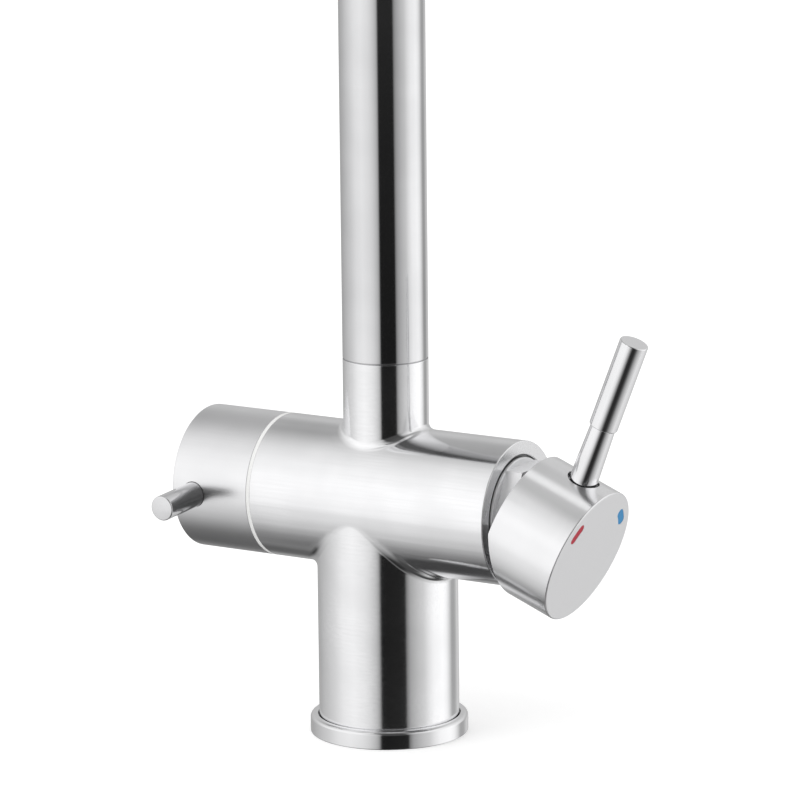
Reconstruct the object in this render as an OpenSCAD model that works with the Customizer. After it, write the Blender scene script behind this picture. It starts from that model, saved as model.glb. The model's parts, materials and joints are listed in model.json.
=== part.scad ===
// Three-way kitchen tap for hot, cold and filtered drinking water.
// Z is up. The origin is the middle of the base, on the worktop. -Y is the user's side, +X the mixer side.

/* [Body] */
// Outside diameter of the horizontal barrel
barrel_d = 47.4; // [46.4:0.2:52]
// Distance from the column's axis to the barrel's left end
barrel_left = 38.4; // [37:0.2:44]
// Distance from the column's axis to the barrel's right end
barrel_right = 49.8; // [48:0.2:56]
// Height of the barrel's axis above the worktop
barrel_z = 78.7; // [72:0.1:95]
// Diameter of the bore that runs through the barrel
barrel_bore_d = 38.3; // [37.9:0.1:39.5]
// Outside diameter of the column
column_d = 46.2; // [44:0.2:46.2]
// Diameter of the bore up the column
column_bore_d = 39; // [38:0.1:40]
// Length of the neck above the top of the barrel
neck_length = 22.8; // [22:0.2:32]

/* [Base] */
// Outside diameter of the base ring
base_ring_d = 52; // [50.6:0.2:60]
// Height of the base ring
base_ring_h = 6; // [4:0.5:12]
// Rounding of the base ring's top edge
base_ring_round = 1.3; // [0.5:0.1:1.5]
// Thickness of the ledge under the column
base_ledge = 1.6; // [1.5:0.1:2.5]
// Distance from the base ring's outside to the column's foot
base_ring_wall = 2.9; // [2.4:0.1:3.6]
// Diameter of the two tapped stud holes
stud_hole_d = 6.8; // [5:0.1:7.5]
// Distance between the two stud holes
stud_spacing = 26; // [24:0.5:28]
// Diameter of the three tapped inlet holes
inlet_hole_d = 9; // [8.4:0.1:10]
// Outside diameter of the pipes inside the column
pipe_d = 8; // [6:0.2:8.2]
// Wall of the pipes inside the column
pipe_wall = 1; // [0.5:0.1:1.5]

/* [Spout] */
// Outside diameter of the spout tube and of the neck
spout_d = 28; // [27.6:0.2:32]
// Wall of the spout tube
spout_wall = 1.2; // [0.8:0.1:1.6]
// Height of the spout arm's axis above the worktop
arm_z = 306; // [290:1:360]
// Distance from the column's axis to the outlet
reach = 200; // [150:1:240]
// Radius of the bend, at the tube's axis
bend_r = 30; // [24:1:60]
// Outside diameter of the outlet collar
collar_d = 24; // [23.4:0.2:25]
// How far the collar stands out under the arm
collar_drop = 7.5; // [6:0.5:20]
// How far the spout swivels to each side
swivel_half = 70; // [30:5:80]
// Outside diameter of the filtered water hose
hose_d = 7; // [6.4:0.2:8]

/* [Filter control] */
// Length of the filter knob
knob_length = 28.8; // [27:0.2:40]
// Visible width of the white ring beside the knob
washer_t = 1.4; // [0.8:0.1:3]
// Wall of the filter knob
knob_wall = 3; // [2:0.1:4]
// Diameter of the filter lever
filter_lever_d = 8.3; // [6:0.1:10]
// Distance from the barrel's axis to the filter lever's tip
filter_lever_reach = 42.2; // [34:0.2:70]
// Distance from the knob's end face to the filter lever
filter_lever_inset = 8.1; // [7:0.1:9]
// How far the filter lever points below level
filter_lever_droop = 3; // [0:1:10]
// Diameter of the valve's spindle
spindle_d = 8; // [6:0.1:9]

/* [Mixer handle] */
// Outside diameter of the handle cap
cap_d = 45.9; // [45.4:0.1:48]
// Wall of the handle cap
cap_wall = 2; // [1.2:0.1:2.1]
// Distance from the tilt axis to the cap's face
cap_face = 30.5; // [29.5:0.1:40]
// Outward tilt of the handle as it stands in the model
cap_tilt = 21.7; // [18:0.1:22]
// Gap between the cap's rim and the barrel's end
cap_gap = 1.9; // [1.6:0.1:4]
// Distance from the barrel's end back to the tilt axis
pivot_inset = 3; // [2:0.1:4]
// Distance along the cap from the tilt axis to the lever
lever_axial = 19.9; // [19:0.1:21]
// Diameter of the lever's stem at the cap
lever_root_d = 9.3; // [7:0.1:10]
// Diameter of the lever's stem under the grip
lever_neck_d = 8.2; // [6.5:0.1:9]
// Diameter of the lever's grip
lever_grip_d = 9.4; // [8:0.1:12]
// Distance from the cap's axis to the start of the grip
grip_start = 42.2; // [30:0.2:50]
// Distance from the cap's axis to the top of the grip
grip_end = 72.7; // [66:0.2:110]
// Diameter of the cap's hole around the lever
lever_hole_d = 10.8; // [10.2:0.1:12]

/* [Cartridge] */
// Diameter of the mixer cartridge
cartridge_d = 34.9; // [34.7:0.1:35.2]
// Distance across the corners of the cartridge nut
nut_corners = 37; // [34:0.1:37.2]
// How far the cartridge nut stands out of the barrel
nut_stand = 7.1; // [4:0.1:7.4]
// Width of the square stem
stem_w = 8; // [6:0.1:8]
// Distance from the tilt axis to the stem's ball
ball_arm = 9; // [8:0.1:9]
// Thickness of each ceramic disc in the mixer cartridge
disc_t = 4; // [3:0.1:4.5]

/* [Fits] */
// Radial clearance of parts that turn on each other
run_gap = 0.05; // [0.02:0.01:0.1]
// Radial clearance of parts that are assembled and then stay put
snug_gap = 0.05; // [0.02:0.01:0.08]
// Clearance between moving parts that don't guide each other
free_gap = 0.35; // [0.3:0.05:0.4]

/* [Hidden] */
$fn = 72;
// Amount by which a cut runs past the face that it opens
cut = 1;
barrel_r = barrel_d / 2;
bore_r = barrel_bore_d / 2;
column_r = column_d / 2;
spout_r = spout_d / 2;

// Column and base
column_foot = base_ledge;
foot_r = base_ring_d / 2 - base_ring_wall;
foot_top = base_ring_h + free_gap;
insert_r = column_bore_d / 2 - snug_gap;
insert_h = 17;
insert_top = column_foot + insert_h;
inlet_depth = 10;
stud_depth = 12;
stud_x = -5;
pipe_r = pipe_d / 2;
pipe_bore_r = pipe_r - pipe_wall;
pipe_socket = 6;
// Plan positions of the hot, cold and filtered inlets
supply_x = 6;
supply_y = 8.5;
filtered_x = -11;
// The seal lies in the middle of the ring's flat underside
seal_mid_r = (insert_r + base_ring_d / 2) / 2;
seal_w = 2.4;
seal_t = 1;

// Water core inside the barrel
core_r = bore_r - snug_gap;
core_inset = 4.4;
core_left = -barrel_left + core_inset;
socket_depth = 14;
valve_seat_x = core_left + socket_depth;
socket_r = 10.5;
channel_r = 2.5;
mixed_bore_r = 2.3;
filtered_bore_r = 2;
outlet_groove_w = 4;
outlet_groove_deep = 1;
// Heights above the barrel's axis
supply_z = 5;
mixed_z = -5.5;
filtered_z = 14;
pipe_drop = 11;
pipe_top = barrel_z - pipe_drop;
mixed_x = 8.2;

// Mixer cartridge, from the tilt axis inwards
pivot_x = barrel_right - pivot_inset;
ball_r = 2.6;
ball_neck_r = 1.4;
ball_floor = 1.6;
carrier_inset = 6.6;
carrier_top = pivot_x - carrier_inset;
carrier_foot = pivot_x - ball_arm - ball_r - ball_floor;
carrier_floor = 1;
disc_gap = 0.05;
moving_x = carrier_foot - disc_t;
fixed_x = moving_x - disc_gap - disc_t;
cartridge_base_t = 9.2;
core_face = fixed_x - cartridge_base_t;
rotor_gap = 0.3;
rotor_foot = carrier_top + rotor_gap;
shoulder_inset = 1.8;
shoulder_x = pivot_x - shoulder_inset;
roof_stand = 0.2;
roof_x = pivot_x + roof_stand;
neck_stand = 4.6;
cartridge_neck = pivot_x + neck_stand;
cartridge_r = cartridge_d / 2;
// Offset of the moving disc from the barrel's axis as the handle stands
disc_shift = ball_arm * sin(cap_tilt);
moving_r = 12;
chamber_r = 16.1;
rotor_r = 13;
rotor_neck_r = 9.5;
// Slot in which the square stem tilts, from its lower end below the barrel's axis
slot_drop = 6.8;
slot_h = 13.3;
pin_r = 1.5;
pin_inset = 0.3;
stem_tail = 4;
port_r = 2;
port_seal_w = 1.4;
port_seal_h = 0.9;
port_seal_groove = 1;
// Mixing pocket of the moving disc
pocket_w = 15;
pocket_h = 9.5;
pocket_drop = 8;
cartridge_neck_r = 11.5;
nut_end = barrel_right + nut_stand;
nut_hole_r = cartridge_neck_r + snug_gap;
nut_chamfer = 1.2;
nut_thread_l = 6;
nut_groove_w = 0.8;
nut_groove_deep = 1;
nut_collar = 0.8;
nut_bore_gap = 0.1;

// Mixer handle, measured along the cap's axis from the tilt axis
cap_r = cap_d / 2;
rim_play = 0.2;
rim_axial = cap_gap + pivot_inset + rim_play;
cap_top = 4.4;
ceiling = cap_face - cap_top;
cap_edge = 0.5;
hub_start = 16;
hub_r = 8;
hole_floor = 1;
stem_head_gap = 2;
stem_end = ceiling - stem_head_gap;
socket_play = 0.2;
shank_r = 2.5;
end_play = 0.1;
grip_tenon = 18;
grip_edge = 0.4;
mark_r = 18.3;
mark_w = 3.1;
mark_l = 7.3;
mark_deep = 0.6;
mark_angle = 51;

// Filter control
knob_right = -barrel_left - washer_t;
knob_left = knob_right - knob_length;
knob_bore_r = barrel_r - knob_wall;
knob_edge = 0.6;
knob_hub_r = 9;
knob_hub_inset = 12;
knob_floor_t = 4;
knob_floor = knob_left + knob_floor_t;
knob_face_gap = 0.1;
filter_lever_x = knob_left + filter_lever_inset;
filter_lever_edge = 0.4;
filter_hole_gap = 0.5;
spindle_r = spindle_d / 2;
spindle_inset = 1;
spindle_end = knob_floor + spindle_inset;
valve_bore_r = 8;
valve_seal_t = 1;
valve_disc_t = 2;
valve_port_r = 2.2;
valve_port_offset = 3.6;
valve_hex = 24;
valve_hex_t = 4;
valve_hex_left = core_left - valve_hex_t;
valve_hex_gap = 0.5;
valve_neck_l = 6;
valve_neck_wall = 3;
valve_end_gap = 0.3;
valve_face = valve_seat_x - valve_seal_t;
window_l = 2.4;
window_w = 6;
window_inset = 0.1;
clip_x = valve_hex_left - valve_neck_l;
clip_gap = 0.1;
clip_groove_w = 0.9;
clip_groove_deep = 0.6;
clip_t = 0.8;
clip_wall = 2;
guide_l = 6;
washer_end_gap = 0.4;

// Neck and spigot
neck_top = barrel_z + barrel_r + neck_length;
neck_bore_r = 11;
spigot_r = neck_bore_r - run_gap;
spigot_bore_r = 7;
spigot_l = 24;
spigot_foot = neck_top - spigot_l;
spigot_socket_l = 14;
swivel_t = 0.4;
swivel_inset = 0.4;
tube_foot = neck_top + swivel_t + disc_gap;
tube_bore_r = spout_r - spout_wall;
screw_drop = 18;
screw_z = neck_top - screw_drop;
screw_r = 2.5;
screw_reach = 2;
screw_sink = 0.3;
key_r = 1.44;
key_deep = 2;
// Degrees by which the screw's track is longer than the swivel
track_play = 1;
track_deep = screw_reach + free_gap;
lower_seal_drop = 11;
upper_seal_drop = 5;
seal_heights = [neck_top - lower_seal_drop, neck_top - upper_seal_drop];
seal_groove_h = 2.6;
seal_groove_deep = 2;
spigot_seal_r = 0.97;
nipple_r = 5.5;
nipple_thread_r = 5;
nipple_thread_deep = 3;
nipple_thread_play = 0.5;
nipple_drop = 13;
nipple_top = neck_top - nipple_drop;
plug_r = 4;
plug_foot_gap = 0.5;
plug_socket_foot = spigot_foot + 1;
plug_stand = 1.5;
hose_start = nipple_top + plug_stand;
hose_wall = 1;
hose_bore_r = hose_d / 2 - hose_wall;
barb_l = 8;
barb_bore_r = 1.6;

// Outlet
arm_end = reach + spout_r;
collar_foot = arm_z - spout_r - collar_drop;
collar_r = collar_d / 2;
collar_wall = 1.5;
collar_bore_r = collar_r - collar_wall;
collar_top = arm_z - sqrt(spout_r * spout_r - collar_r * collar_r);
aerator_stand = 0.4;
aerator_foot = collar_foot - aerator_stand;
aerator_h = 7;
aerator_top = aerator_foot + aerator_h;
aerator_wall = 1.4;
aerator_lip_h = 0.6;
aerator_lip_w = 0.5;
aerator_seal_t = 1;
aerator_seat_w = 2;
aerator_headroom = 2;
jet_r = 0.9;
jet_inset = 4.4;
jet_count = 12;
nozzle_r = 3;
nozzle_stand = 0.4;
nozzle_barb_l = 6;
hose_turn_r = 12;
hose_lift = 5.4;
hose_end = collar_foot + hose_lift;
cap_plug_play = 0.5;
end_cap_t = 2;
end_cap_edge = 0.8;

// Points of a circular arc, for rounded outlines
function arc(cx, cy, r, from, to, steps = 6) =
    [for (i = [0 : steps]) let (a = from + (to - from) * i / steps) [cx + r * cos(a), cy + r * sin(a)]];

// Points of a curved slot with round ends, about the origin
function curved_slot(r, w, l, mid, ease = 0) = let (half = (l - w) / 2 / r * 180 / PI, e = w / 2 - ease)
    concat(
        [for (i = [0 : 8]) let (a = mid - half + 2 * half * i / 8) (r + e) * [cos(a), sin(a)]],
        [for (i = [1 : 7]) r * [cos(mid + half), sin(mid + half)]
            + e * [cos(mid + half + 180 * i / 8), sin(mid + half + 180 * i / 8)]],
        [for (i = [0 : 8]) let (a = mid + half - 2 * half * i / 8) (r - e) * [cos(a), sin(a)]],
        [for (i = [1 : 7]) r * [cos(mid - half), sin(mid - half)]
            + e * [cos(mid - half + 180 + 180 * i / 8), sin(mid - half + 180 + 180 * i / 8)]]);

// Rod along the barrel's axis from x0 to x1, moved sideways by y and up by z
module rod_x(x0, x1, r, y = 0, z = 0) {
    translate([x0, y, barrel_z + z]) rotate([0, 90, 0]) cylinder(h = x1 - x0, r = r);
}

// Upright rod from z0 to z1
module rod_z(z0, z1, r, x = 0, y = 0) {
    translate([x, y, z0]) cylinder(h = z1 - z0, r = r);
}

module ring_x(x0, x1, outer, inner) {
    difference() {
        rod_x(x0, x1, outer);
        rod_x(x0 - cut, x1 + cut, inner);
    }
}

module ring_z(z0, z1, outer, inner, x = 0, y = 0) {
    difference() {
        rod_z(z0, z1, outer, x, y);
        rod_z(z0 - cut, z1 + cut, inner, x, y);
    }
}

// Places a part made along Z onto the cap's axis, with the tilt axis at zero
module on_cap() {
    translate([pivot_x, 0, barrel_z]) rotate([0, 90 + cap_tilt, 0]) children();
}

// Places a part made along Z onto the lever's axis, with the cap's axis at zero
module on_lever() {
    on_cap() translate([0, 0, lever_axial]) rotate([0, -90, 0]) children();
}

// Places a part made along Z onto the filter lever's axis, with the barrel's axis at zero
module on_filter_lever() {
    translate([filter_lever_x, 0, barrel_z]) rotate([90 + filter_lever_droop, 0, 0]) children();
}

// Solid that follows the spout from one height to a length along the arm
module spout_run(foot, arm_length, r) {
    rod_z(foot, arm_z - bend_r, r);
    translate([0, -bend_r, arm_z - bend_r]) rotate([90, 0, 90])
        rotate_extrude(angle = 90) translate([bend_r, 0]) circle(r = r);
    translate([0, -bend_r, arm_z]) rotate([90, 0, 0]) cylinder(h = arm_length - bend_r, r = r);
}

module base_seal() {
    half_w = seal_w / 2 - snug_gap;
    color("dimgray") ring_z(0, seal_t, seal_mid_r + half_w, seal_mid_r - half_w);
}

module base_ring() {
    outer = base_ring_d / 2;
    well = foot_r + free_gap;
    color("silver") difference() {
        rotate_extrude() polygon(concat(
            [[insert_r, 0], [outer, 0]],
            arc(outer - base_ring_round, base_ring_h - base_ring_round, base_ring_round, 0, 90),
            [[well, base_ring_h], [well, base_ledge], [insert_r, base_ledge]]));
        ring_z(-cut, seal_t, seal_mid_r + seal_w / 2, seal_mid_r - seal_w / 2);
    }
}

module base_insert() {
    color("goldenrod") difference() {
        rod_z(column_foot, insert_top, insert_r);
        for (p = [[supply_x, -supply_y], [supply_x, supply_y], [filtered_x, 0]]) {
            rod_z(column_foot - cut, column_foot + inlet_depth, inlet_hole_d / 2, p[0], p[1]);
            rod_z(column_foot, insert_top + cut, pipe_r + snug_gap, p[0], p[1]);
        }
        for (y = [-stud_spacing / 2, stud_spacing / 2])
            rod_z(column_foot - cut, column_foot + stud_depth, stud_hole_d / 2, stud_x, y);
    }
}

module mixer_body() {
    color("silver") difference() {
        union() {
            rod_z(column_foot, foot_top, foot_r);
            rod_z(foot_top, barrel_z, column_r);
            rod_x(-barrel_left, barrel_right, barrel_r);
            rod_z(barrel_z, neck_top, spout_r);
        }
        rod_z(column_foot - cut, barrel_z, column_bore_d / 2);
        rod_x(-barrel_left - cut, barrel_right + cut, bore_r);
        rod_z(barrel_z, neck_top + cut, neck_bore_r);
        translate([0, 0, screw_z]) rotate([-90, 0, 0]) cylinder(h = spout_r + cut, r = screw_r);
    }
}

module water_core() {
    channel_top = barrel_z + filtered_z;
    outlet_x = valve_seat_x - outlet_groove_w / 2;
    color("goldenrod") difference() {
        rod_x(core_left, core_face, core_r);
        // Socket and seat of the filter valve
        rod_x(core_left - cut, valve_seat_x, socket_r);
        rod_x(valve_seat_x - cut, filtered_x, channel_r);
        rod_x(valve_seat_x - outlet_groove_w, valve_seat_x, socket_r + outlet_groove_deep);
        // Filtered water in from below and out to the nipple
        rod_z(0, pipe_top, pipe_r + snug_gap, filtered_x, 0);
        rod_z(pipe_top - cut, barrel_z, channel_r, filtered_x, 0);
        rod_z(barrel_z + socket_r, channel_top, filtered_bore_r, outlet_x, 0);
        rod_x(outlet_x, 0, filtered_bore_r, 0, filtered_z);
        rod_z(channel_top - nipple_thread_deep, barrel_z + core_r + cut, nipple_thread_r);
        // Hot and cold water to the cartridge
        for (side = [-1, 1]) {
            rod_z(0, pipe_top, pipe_r + snug_gap, supply_x, side * supply_y);
            rod_z(pipe_top - cut, barrel_z + supply_z, channel_r, supply_x, side * supply_y);
            rod_x(supply_x, core_face + cut, channel_r, side * supply_y, supply_z);
        }
        // Mixed water back from the cartridge and up the neck
        rod_x(mixed_x, core_face + cut, channel_r, 0, mixed_z);
        rod_z(barrel_z + mixed_z, barrel_z + core_r + cut, mixed_bore_r, mixed_x, 0);
    }
}

module supply_pipe(x, y) {
    ring_z(insert_top - pipe_socket, pipe_top, pipe_r, pipe_bore_r, x, y);
}

module hot_pipe() {
    color("peru") supply_pipe(supply_x, -supply_y);
}

module cold_pipe() {
    color("peru") supply_pipe(supply_x, supply_y);
}

module filtered_pipe() {
    color("peru") supply_pipe(filtered_x, 0);
}

module valve_seal() {
    color("dimgray") ring_x(valve_face, valve_seat_x, valve_bore_r - snug_gap, channel_r);
}

module valve_disc_fixed() {
    x0 = valve_face - valve_disc_t;
    color("white") difference() {
        rod_x(x0, valve_face, valve_bore_r - snug_gap);
        for (z = [-valve_port_offset, valve_port_offset]) rod_x(x0 - cut, valve_seat_x, valve_port_r, 0, z);
    }
}

module valve_disc_moving() {
    x1 = valve_face - valve_disc_t - disc_gap;
    x0 = x1 - valve_disc_t;
    color("whitesmoke") difference() {
        rod_x(x0, x1, valve_bore_r - run_gap);
        for (y = [-valve_port_offset, valve_port_offset]) rod_x(x0 - cut, x1 + cut, valve_port_r, y);
    }
}

module valve_body() {
    roof = valve_face - 3 * valve_disc_t - 2 * disc_gap;
    window_x = valve_face - window_inset - window_l;
    color("goldenrod") difference() {
        union() {
            rod_x(core_left, valve_seat_x - valve_end_gap, socket_r - snug_gap);
            translate([valve_hex_left, 0, barrel_z]) rotate([0, 90, 0])
                cylinder(h = valve_hex_t, r = valve_hex / sqrt(3), $fn = 6);
            rod_x(clip_x, valve_hex_left, spindle_r + valve_neck_wall);
        }
        rod_x(roof, valve_seat_x + cut, valve_bore_r);
        rod_x(clip_x - cut, roof + cut, spindle_r + run_gap);
        // Windows that let the filtered water out sideways
        translate([window_x, -window_w / 2, barrel_z - socket_r - cut])
            cube([window_l, window_w, 2 * (socket_r + cut)]);
    }
}

module valve_spindle() {
    foot = valve_face - 2 * valve_disc_t - disc_gap;
    groove_x = clip_x - clip_gap;
    color("goldenrod") difference() {
        union() {
            rod_x(foot - valve_disc_t, foot, valve_bore_r - run_gap);
            rod_x(spindle_end, foot, spindle_r);
        }
        ring_x(groove_x - clip_groove_w, groove_x, spindle_r + cut, spindle_r - clip_groove_deep);
    }
}

module spindle_clip() {
    x1 = clip_x - clip_gap - snug_gap;
    color("gray") ring_x(x1 - clip_t, x1, spindle_r + clip_wall, spindle_r - clip_groove_deep + snug_gap);
}

module friction_washer() {
    guide_r = knob_bore_r - run_gap;
    color("white") difference() {
        union() {
            rod_x(-barrel_left, core_left - washer_end_gap, bore_r - snug_gap);
            rod_x(knob_right + knob_face_gap, -barrel_left, barrel_r);
            rod_x(knob_right - guide_l, knob_right + 2 * knob_face_gap, guide_r);
        }
        rod_x(knob_right - guide_l - cut, core_left, valve_hex / sqrt(3) + valve_hex_gap);
    }
}

module filter_knob() {
    edge = arc(barrel_r - knob_edge, knob_edge, knob_edge, -90, 0);
    color("silver") difference() {
        translate([knob_left, 0, barrel_z]) rotate([0, 90, 0])
            rotate_extrude() polygon(concat([[0, 0]], edge, [[barrel_r, knob_length], [0, knob_length]]));
        ring_x(knob_floor, knob_right + cut, knob_bore_r, knob_hub_r);
        rod_x(knob_right - knob_hub_inset, knob_right + cut, knob_hub_r + cut);
        rod_x(spindle_end - socket_play, knob_right + cut, spindle_r + snug_gap);
        on_filter_lever() cylinder(h = barrel_r + cut, r = shank_r + snug_gap);
        on_filter_lever() translate([0, 0, knob_hub_r + hole_floor])
            cylinder(h = barrel_r, r = filter_lever_d / 2 + filter_hole_gap);
    }
}

module filter_lever() {
    edge = filter_lever_edge;
    r = filter_lever_d / 2;
    foot = spindle_r + end_play;
    shoulder = knob_hub_r + end_play;
    color("gray") on_filter_lever() rotate_extrude() polygon(concat(
        [[0, foot], [shank_r, foot], [shank_r, shoulder], [r, shoulder]],
        arc(r - edge, filter_lever_reach - edge, edge, 0, 90, 3), [[0, filter_lever_reach]]));
}

// Places of the cartridge's ports: sideways and up from the barrel's axis
ports = [[-supply_y, supply_z], [supply_y, supply_z], [0, mixed_z]];

module port_seals() {
    color("dimgray") for (p = ports) difference() {
        rod_x(core_face, core_face + port_seal_h, channel_r + port_seal_w, p[0], p[1]);
        rod_x(core_face - cut, core_face + port_seal_h + cut, channel_r, p[0], p[1]);
    }
}

module cartridge_base() {
    color("lightgray") difference() {
        rod_x(core_face, fixed_x, cartridge_r);
        groove_r = channel_r + port_seal_w + snug_gap;
        for (p = ports) {
            rod_x(core_face - cut, fixed_x + cut, port_r, p[0], p[1]);
            rod_x(core_face - cut, core_face + port_seal_groove, groove_r, p[0], p[1]);
        }
    }
}

module ceramic_disc_fixed() {
    color("white") difference() {
        rod_x(fixed_x, fixed_x + disc_t, chamber_r - snug_gap);
        for (p = ports) rod_x(fixed_x - cut, moving_x + cut, port_r, p[0], p[1]);
    }
}

module ceramic_disc_moving() {
    color("whitesmoke") translate([0, 0, disc_shift]) difference() {
        rod_x(moving_x, carrier_foot, moving_r);
        // Mixing pocket that joins the ports when the disc moves up
        translate([moving_x - cut, -pocket_w / 2, barrel_z - pocket_drop])
            cube([disc_t / 2 + cut, pocket_w, pocket_h]);
    }
}

module disc_carrier() {
    color("lightgray") translate([0, 0, disc_shift]) difference() {
        rod_x(carrier_foot, carrier_top, moving_r);
        rod_x(carrier_foot + carrier_floor, carrier_top + cut, ball_r + free_gap);
    }
}

module cartridge_body() {
    color("lightgray") difference() {
        union() {
            rod_x(fixed_x, roof_x, cartridge_r);
            rod_x(roof_x, cartridge_neck, nut_hole_r - snug_gap);
        }
        rod_x(fixed_x - cut, rotor_foot - run_gap, chamber_r);
        rod_x(rotor_foot - cut, shoulder_x, rotor_r + run_gap);
        rod_x(shoulder_x - cut, cartridge_neck + cut, rotor_neck_r + run_gap);
    }
}

module cartridge_rotor() {
    color("gray") difference() {
        union() {
            rod_x(rotor_foot, shoulder_x - run_gap, rotor_r);
            rod_x(shoulder_x - cut, cartridge_neck, rotor_neck_r);
        }
        // Slot in which the square stem tilts
        translate([rotor_foot - cut, -stem_w / 2 - free_gap, barrel_z - slot_drop])
            cube([cartridge_neck - rotor_foot + 2 * cut, stem_w + 2 * free_gap, slot_h]);
        translate([pivot_x, -rotor_r, barrel_z]) rotate([-90, 0, 0])
            cylinder(h = 2 * rotor_r, r = pin_r + snug_gap / 2);
    }
}

module stem_pin() {
    half = rotor_neck_r - pin_inset;
    color("gray") translate([pivot_x, -half, barrel_z]) rotate([-90, 0, 0]) cylinder(h = 2 * half, r = pin_r);
}

module cartridge_stem() {
    color("silver") on_cap() difference() {
        union() {
            translate([-stem_w / 2, -stem_w / 2, -stem_tail]) cube([stem_w, stem_w, stem_end + stem_tail]);
            translate([0, 0, -ball_arm]) cylinder(h = ball_arm, r = ball_neck_r);
            translate([0, 0, -ball_arm]) sphere(r = ball_r);
        }
        translate([0, -stem_w, 0]) rotate([-90, 0, 0]) cylinder(h = 2 * stem_w, r = pin_r + run_gap);
    }
}

module cartridge_nut() {
    corner_r = nut_corners / 2;
    color("silver") difference() {
        union() {
            rod_x(roof_x - nut_thread_l, barrel_right - nut_groove_deep, bore_r - snug_gap);
            rod_x(roof_x, barrel_right + nut_collar, bore_r - nut_groove_w);
            intersection() {
                translate([barrel_right, 0, barrel_z]) rotate([0, 90, 0]) rotate([0, 0, 30])
                    cylinder(h = nut_stand, r = corner_r, $fn = 6);
                translate([barrel_right, 0, barrel_z]) rotate([0, 90, 0])
                    rotate_extrude() polygon([[0, 0], [corner_r, 0], [corner_r, nut_stand - nut_chamfer],
                        [corner_r - 2 * nut_chamfer, nut_stand], [0, nut_stand]]);
            }
        }
        rod_x(roof_x - nut_thread_l - cut, roof_x, cartridge_r + nut_bore_gap);
        rod_x(roof_x - cut, nut_end + cut, nut_hole_r);
    }
}

module handle_cap() {
    bore = cap_r - cap_wall;
    rim = arc(cap_r - cap_edge, cap_face - cap_edge, cap_edge, 0, 90);
    socket = stem_w + 2 * snug_gap;
    color("silver") difference() {
        on_cap() difference() {
            rotate_extrude() polygon(concat([[0, rim_axial], [cap_r, rim_axial]], rim, [[0, cap_face]]));
            // Hollow around the hub
            difference() {
                translate([0, 0, -cut]) cylinder(h = ceiling + cut, r = bore);
                translate([0, 0, hub_start]) cylinder(h = ceiling, r = hub_r);
            }
            // Square socket for the stem
            translate([-socket / 2, -socket / 2, -cut]) cube([socket, socket, stem_end + socket_play + cut]);
            for (side = [-1, 1]) translate([0, 0, cap_face - mark_deep])
                linear_extrude(height = mark_deep + cut)
                    polygon(curved_slot(mark_r, mark_w, mark_l, 180 + side * mark_angle));
        }
        on_lever() cylinder(h = cap_r + cut, r = shank_r + snug_gap);
        on_lever() translate([0, 0, hub_r + hole_floor]) cylinder(h = cap_r, r = lever_hole_d / 2);
        // The lower rim stands parallel to the barrel's end as the handle tilts out
        translate([barrel_right - cap_r, -cap_r - cut, barrel_z - 2 * cap_r])
            cube([cap_r + cap_gap, 2 * (cap_r + cut), 4 * cap_r]);
    }
}

module lever_stem() {
    foot = stem_w / 2 + end_play;
    shoulder = hub_r + end_play;
    root_r = lever_root_d / 2;
    tenon_top = grip_start + grip_tenon;
    color("gray") on_lever() rotate_extrude() polygon([
        [0, foot], [shank_r, foot], [shank_r, shoulder], [root_r, shoulder],
        [root_r, cap_r], [lever_neck_d / 2, grip_start], [shank_r, grip_start],
        [shank_r, tenon_top], [0, tenon_top]]);
}

module lever_grip() {
    edge = grip_edge;
    r = lever_grip_d / 2;
    bore = shank_r + snug_gap;
    bore_top = grip_start + grip_tenon + socket_play;
    color("gray") on_lever() rotate_extrude() polygon(concat(
        [[0, bore_top], [bore, bore_top], [bore, grip_start], [r - edge, grip_start], [r, grip_start + edge]],
        arc(r - edge, grip_end - edge, edge, 0, 90, 3), [[0, grip_end]]));
}

module temperature_mark(side) {
    on_cap() translate([0, 0, cap_face - mark_deep]) linear_extrude(height = mark_deep)
        polygon(curved_slot(mark_r, mark_w, mark_l, 180 + side * mark_angle, snug_gap));
}

module hot_mark() {
    color("red") temperature_mark(1);
}

module cold_mark() {
    color("blue") temperature_mark(-1);
}

module hose_nipple() {
    thread_foot = barrel_z + filtered_z - nipple_thread_deep + nipple_thread_play;
    seat = barrel_z + core_r;
    color("goldenrod") difference() {
        union() {
            rod_z(thread_foot, seat, nipple_thread_r - snug_gap);
            rod_z(seat, nipple_top, nipple_r);
        }
        rod_z(thread_foot - cut, nipple_top, filtered_bore_r);
        rod_z(plug_socket_foot, nipple_top + cut, plug_r + run_gap);
    }
}

module swivel_washer() {
    color("dimgray") ring_z(neck_top, neck_top + swivel_t, spout_r - swivel_inset, spigot_r + 2 * run_gap);
}

module spout_screw() {
    tip = spigot_r - screw_reach;
    l = spout_r - tip - screw_sink;
    color("gray") translate([0, tip, screw_z]) rotate([-90, 0, 0]) difference() {
        cylinder(h = l, r = screw_r - snug_gap);
        translate([0, 0, l - key_deep]) cylinder(h = key_deep + cut, r = key_r, $fn = 6);
    }
}

module spout_spigot() {
    track_r = spigot_r - track_deep;
    track_h = 2 * (screw_r + free_gap);
    track = swivel_half + asin(track_h / 2 / track_r) + track_play;
    color("goldenrod") difference() {
        union() {
            rod_z(spigot_foot, tube_foot, spigot_r);
            rod_z(tube_foot, tube_foot + spigot_socket_l, tube_bore_r - snug_gap);
        }
        rod_z(spigot_foot - cut, tube_foot + spigot_socket_l + cut, spigot_bore_r);
        for (z = seal_heights)
            ring_z(z - seal_groove_h / 2, z + seal_groove_h / 2, spigot_r + cut, spigot_r - seal_groove_deep);
        // Track of the retaining screw, whose ends stop the swivel
        translate([0, 0, screw_z - track_h / 2]) rotate([0, 0, 90 - track])
            rotate_extrude(angle = 2 * track) translate([track_r, 0]) square([track_deep + cut, track_h]);
    }
}

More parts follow.
